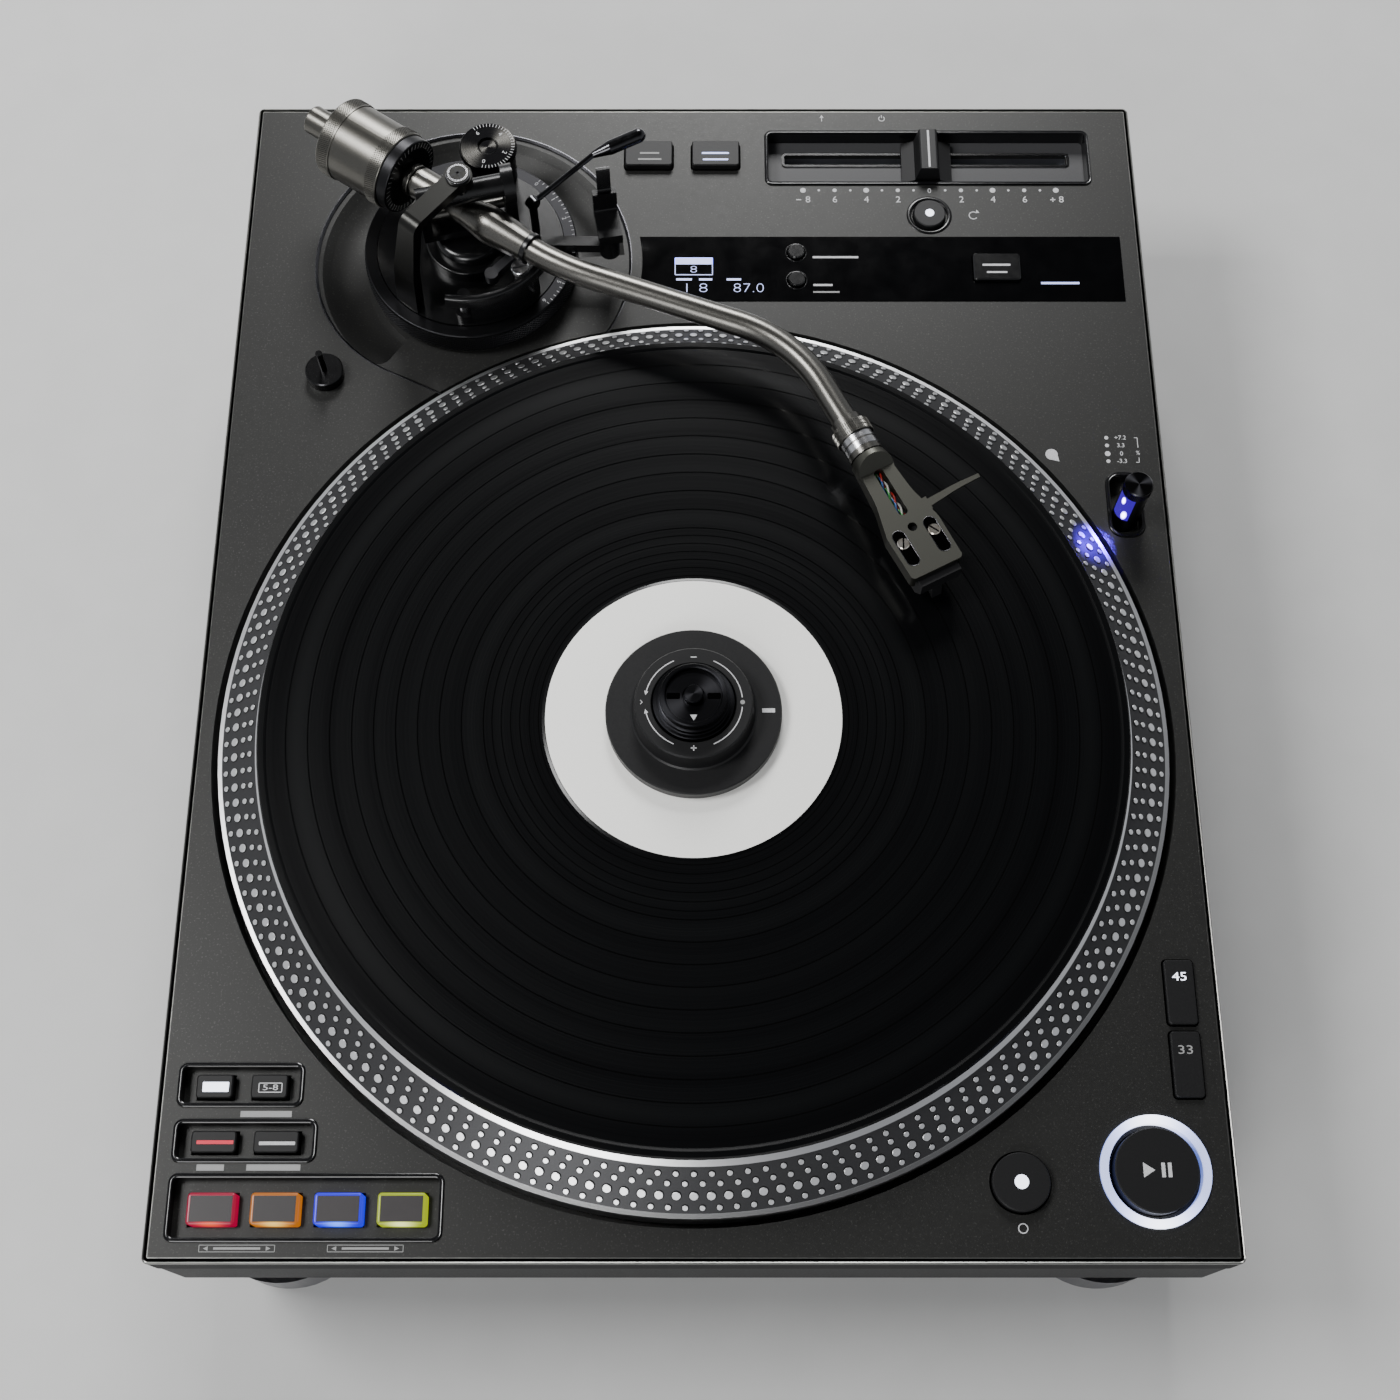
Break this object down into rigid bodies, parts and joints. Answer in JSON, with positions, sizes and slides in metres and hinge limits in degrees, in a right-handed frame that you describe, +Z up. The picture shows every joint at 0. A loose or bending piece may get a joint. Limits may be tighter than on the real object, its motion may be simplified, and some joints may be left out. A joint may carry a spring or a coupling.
{
  "type": "turntable",
  "caption": "Direct-drive deck for mixing: heavy plinth, platter with a dotted strobe edge, S-shaped tonearm with counterweight, speed fader, lamp, lit pads and keys.",
  "frame": {"origin": "on the ground under the centre of the plinth", "axes": "+X to the player's right, +Y away from the player along the plinth's longer side, +Z up"},
  "size_m": [0.353, 0.453, 0.156],
  "materials": {
    "panel_paint": "satin charcoal paint",
    "frame_paint": "dark moulded",
    "base_rubber": "matt black",
    "foot_metal": "grey metallic",
    "screw_steel": "zinc plated",
    "window_black": "high gloss",
    "tray_black": "gloss black",
    "key_black": "satin black",
    "ring_light": "frosted, lit",
    "control_body": "pressed tinplate",
    "board_green": "glass-fibre laminate",
    "supply_case": "folded sheet",
    "socket_black": "moulded",
    "stator_iron": "laminated, wound",
    "rotor_steel": "turned",
    "platter_metal": "anodised, polished edges",
    "felt": "felt",
    "vinyl": "grooved, glossy",
    "clamp_black": "satin black",
    "deck_black": "black",
    "arm_metal": "gun-metal satin",
    "yoke_metal": "gun-metal satin",
    "weight_metal": "gun-metal satin, knurled",
    "dial_metal": "spun",
    "shell_metal": "warm grey",
    "cartridge_black": "moulded",
    "lever_chrome": "dark chrome",
    "post_metal": "spun top, dark body"
  },
  "bodies": {
    "base": {"top_panel": "panel_paint", "display_panel": "window_black", "side_frame": "frame_paint", "bottom_base": "base_rubber", "feet": "foot_metal", "case_screws": "screw_steel", "panel_trays": "tray_black", "start_ring": "ring_light", "fader_unit": "control_body", "motor_stator": "stator_iron", "main_board": "board_green", "power_supply": "supply_case", "rear_sockets": "socket_black"},
    "platter": {"platter": "platter_metal", "slipmat": "felt", "rotor_shaft": "rotor_steel"},
    "record": {"record": "vinyl"},
    "clamp": {"clamp_base": "clamp_black"},
    "clamp_dial": {"clamp_dial": "clamp_black"},
    "height_ring": {"height_ring": "arm_metal"},
    "arm_base": {"arm_base": "deck_black", "yoke": "yoke_metal", "lifter_housing": "deck_black", "anti_skate_housing": "deck_black", "arm_rest": "deck_black"},
    "bearing_block": {"bearing_block": "deck_black"},
    "arm": {"arm_sleeve": "arm_metal", "arm_tube": "arm_metal"},
    "cue_lever": {"cue_lever": "lever_chrome"},
    "lifter_rail": {"lifter_rail": "deck_black"},
    "height_lock_lever": {"height_lock_lever": "dial_metal"},
    "anti_skate_dial": {"anti_skate_dial": "dial_metal"},
    "rest_clip": {"rest_clip": "deck_black"},
    "counterweight": {"counterweight": "weight_metal"},
    "pressure_ring": {"pressure_ring": "clamp_black"},
    "locking_collar": {"locking_collar": "arm_metal"},
    "headshell": {"headshell": "shell_metal", "cartridge": "cartridge_black"},
    "fader_knob": {"fader_knob": "key_black"},
    "lamp_post": {"lamp_post": "post_metal"},
    "auxiliary_weight": {"auxiliary_weight": "weight_metal"},
    "power_switch": {"power_switch": "key_black"},
    "left_key_one": {"left_key_one": "key_black"},
    "right_key_one": {"right_key_one": "key_black"},
    "left_key_two": {"left_key_two": "key_black"},
    "right_key_two": {"right_key_two": "key_black"},
    "pad_1": {"pad_1": "key_black"},
    "pad_2": {"pad_2": "key_black"},
    "pad_3": {"pad_3": "key_black"},
    "pad_4": {"pad_4": "key_black"},
    "step_key": {"step_key": "key_black"},
    "range_key": {"range_key": "key_black"},
    "needle_key": {"needle_key": "key_black"},
    "speed_key_45": {"speed_key_45": "key_black"},
    "speed_key_33": {"speed_key_33": "key_black"},
    "menu_key_high": {"menu_key_high": "key_black"},
    "menu_key_low": {"menu_key_low": "key_black"},
    "reset_key": {"reset_key": "key_black"},
    "start_key": {"start_key": "key_black"},
    "motor_key": {"motor_key": "key_black"}
  },
  "joints": [
    {"name": "platter_spin", "type": "hinge", "parent": "base", "child": "platter", "pos_m": [0, -0.0456, 0.1], "axis": [0, 0, 1], "continuous": true},
    {"name": "record_slip", "type": "hinge", "parent": "platter", "child": "record", "pos_m": [0, -0.0456, 0.1], "axis": [0, 0, 1], "continuous": true},
    {"name": "clamp_lift", "type": "slide", "parent": "record", "child": "clamp", "axis": [0, 0, 1], "range_m": [0, 0.025]},
    {"name": "clamp_dial_turn", "type": "hinge", "parent": "clamp", "child": "clamp_dial", "pos_m": [0, -0.0456, 0.1], "axis": [0, 0, 1], "range_deg": [0, 120]},
    {"name": "height_ring_turn", "type": "hinge", "parent": "base", "child": "height_ring", "pos_m": [-0.0862, 0.1522, 0.105], "axis": [0, 0, 1], "range_deg": [0, 300]},
    {"name": "arm_base_rise", "type": "slide", "parent": "base", "child": "arm_base", "axis": [0, 0, 1], "range_m": [0, 0.006]},
    {"name": "arm_swivel", "type": "hinge", "parent": "arm_base", "child": "bearing_block", "pos_m": [-0.0862, 0.1522, 0.134], "axis": [0, 0, 1], "range_deg": [-12, 30.6]},
    {"name": "arm_tilt", "type": "hinge", "parent": "bearing_block", "child": "arm", "pos_m": [-0.0862, 0.1522, 0.134], "axis": [-0.9744, -0.225, 0], "range_deg": [0, 2.5]},
    {"name": "cue_lever_turn", "type": "hinge", "parent": "arm_base", "child": "cue_lever", "pos_m": [-0.061, 0.1588, 0.129], "axis": [0.6184, -0.7859, 0], "range_deg": [0, 60]},
    {"name": "lifter_rise", "type": "slide", "parent": "arm_base", "child": "lifter_rail", "axis": [0, 0, 1], "range_m": [0, 0.0042]},
    {"name": "height_lock_turn", "type": "hinge", "parent": "arm_base", "child": "height_lock_lever", "pos_m": [-0.066, 0.142, 0.122], "axis": [0, 0, 1], "range_deg": [-25, 0]},
    {"name": "anti_skate_turn", "type": "hinge", "parent": "arm_base", "child": "anti_skate_dial", "pos_m": [-0.0792, 0.1856, 0.127], "axis": [0, 0, -1], "range_deg": [0, 270]},
    {"name": "rest_clip_swing", "type": "hinge", "parent": "arm_base", "child": "rest_clip", "pos_m": [-0.03349, 0.15704, 0.1403], "axis": [-0.9839, -0.1788, 0], "range_deg": [-85, 0]},
    {"name": "counterweight_slide", "type": "slide", "parent": "arm", "child": "counterweight", "axis": [0.8211, -0.5707, 0], "range_m": [-0.015, 0.004]},
    {"name": "pressure_ring_turn", "type": "hinge", "parent": "counterweight", "child": "pressure_ring", "pos_m": [-0.0862, 0.1522, 0.134], "axis": [0.8211, -0.5707, 0], "continuous": true},
    {"name": "collar_turn", "type": "hinge", "parent": "arm", "child": "locking_collar", "pos_m": [0.03685, 0.09467, 0.134], "axis": [0.4602, -0.8878, 0], "range_deg": [0, 90]},
    {"name": "headshell_pull", "type": "slide", "parent": "arm", "child": "headshell", "axis": [0.4602, -0.8878, 0], "range_m": [0, 0.015]},
    {"name": "fader_slide", "type": "slide", "parent": "base", "child": "fader_knob", "axis": [1, 0, 0], "range_m": [-0.05, 0.05]},
    {"name": "lamp_sink", "type": "slide", "parent": "base", "child": "lamp_post", "axis": [0, 0, 1], "range_m": [-0.022, 0]},
    {"name": "auxiliary_weight_lift", "type": "slide", "parent": "base", "child": "auxiliary_weight", "axis": [0, 0, 1], "range_m": [0, 0.018]},
    {"name": "power_rock", "type": "hinge", "parent": "base", "child": "power_switch", "pos_m": [0.073, 0.218, 0.069], "axis": [1, 0, 0], "range_deg": [0, 16]},
    {"name": "left_key_one_press", "type": "slide", "parent": "base", "child": "left_key_one", "axis": [0, 0, -1], "range_m": [0, 0.0008], "stiffness_N_per_m": 400, "springref_m": -0.0005},
    {"name": "right_key_one_press", "type": "slide", "parent": "base", "child": "right_key_one", "axis": [0, 0, -1], "range_m": [0, 0.0008], "stiffness_N_per_m": 400, "springref_m": -0.0005},
    {"name": "left_key_two_press", "type": "slide", "parent": "base", "child": "left_key_two", "axis": [0, 0, -1], "range_m": [0, 0.0008], "stiffness_N_per_m": 400, "springref_m": -0.0005},
    {"name": "right_key_two_press", "type": "slide", "parent": "base", "child": "right_key_two", "axis": [0, 0, -1], "range_m": [0, 0.0008], "stiffness_N_per_m": 400, "springref_m": -0.0005},
    {"name": "pad_1_press", "type": "slide", "parent": "base", "child": "pad_1", "axis": [0, 0, -1], "range_m": [0, 0.0008], "stiffness_N_per_m": 400, "springref_m": -0.0005},
    {"name": "pad_2_press", "type": "slide", "parent": "base", "child": "pad_2", "axis": [0, 0, -1], "range_m": [0, 0.0008], "stiffness_N_per_m": 400, "springref_m": -0.0005},
    {"name": "pad_3_press", "type": "slide", "parent": "base", "child": "pad_3", "axis": [0, 0, -1], "range_m": [0, 0.0008], "stiffness_N_per_m": 400, "springref_m": -0.0005},
    {"name": "pad_4_press", "type": "slide", "parent": "base", "child": "pad_4", "axis": [0, 0, -1], "range_m": [0, 0.0008], "stiffness_N_per_m": 400, "springref_m": -0.0005},
    {"name": "step_key_press", "type": "slide", "parent": "base", "child": "step_key", "axis": [0, 0, -1], "range_m": [0, 0.0008], "stiffness_N_per_m": 400, "springref_m": -0.0005},
    {"name": "range_key_press", "type": "slide", "parent": "base", "child": "range_key", "axis": [0, 0, -1], "range_m": [0, 0.0008], "stiffness_N_per_m": 400, "springref_m": -0.0005},
    {"name": "needle_key_press", "type": "slide", "parent": "base", "child": "needle_key", "axis": [0, 0, -1], "range_m": [0, 0.0008], "stiffness_N_per_m": 400, "springref_m": -0.0005},
    {"name": "speed_key_45_press", "type": "slide", "parent": "base", "child": "speed_key_45", "axis": [0, 0, -1], "range_m": [0, 0.0008], "stiffness_N_per_m": 400, "springref_m": -0.0005},
    {"name": "speed_key_33_press", "type": "slide", "parent": "base", "child": "speed_key_33", "axis": [0, 0, -1], "range_m": [0, 0.0008], "stiffness_N_per_m": 400, "springref_m": -0.0005},
    {"name": "menu_key_high_press", "type": "slide", "parent": "base", "child": "menu_key_high", "axis": [0, 0, -1], "range_m": [0, 0.0008], "stiffness_N_per_m": 400, "springref_m": -0.0005},
    {"name": "menu_key_low_press", "type": "slide", "parent": "base", "child": "menu_key_low", "axis": [0, 0, -1], "range_m": [0, 0.0008], "stiffness_N_per_m": 400, "springref_m": -0.0005},
    {"name": "reset_key_press", "type": "slide", "parent": "base", "child": "reset_key", "axis": [0, 0, -1], "range_m": [0, 0.0008], "stiffness_N_per_m": 400, "springref_m": -0.0005},
    {"name": "start_key_press", "type": "slide", "parent": "base", "child": "start_key", "axis": [0, 0, -1], "range_m": [0, 0.001], "stiffness_N_per_m": 400, "springref_m": -0.0005},
    {"name": "motor_key_press", "type": "slide", "parent": "base", "child": "motor_key", "axis": [0, 0, -1], "range_m": [0, 0.001], "stiffness_N_per_m": 400, "springref_m": -0.0005}
  ],
  "couplings": [
    {"joint": "arm_base_rise", "follows": "height_ring_turn", "m_per_rad": 0.0011459},
    {"joint": "lifter_rise", "follows": "cue_lever_turn", "m_per_rad": 0.0040107},
    {"joint": "arm_tilt", "follows": "cue_lever_turn", "ratio": 0.041667}
  ]
}
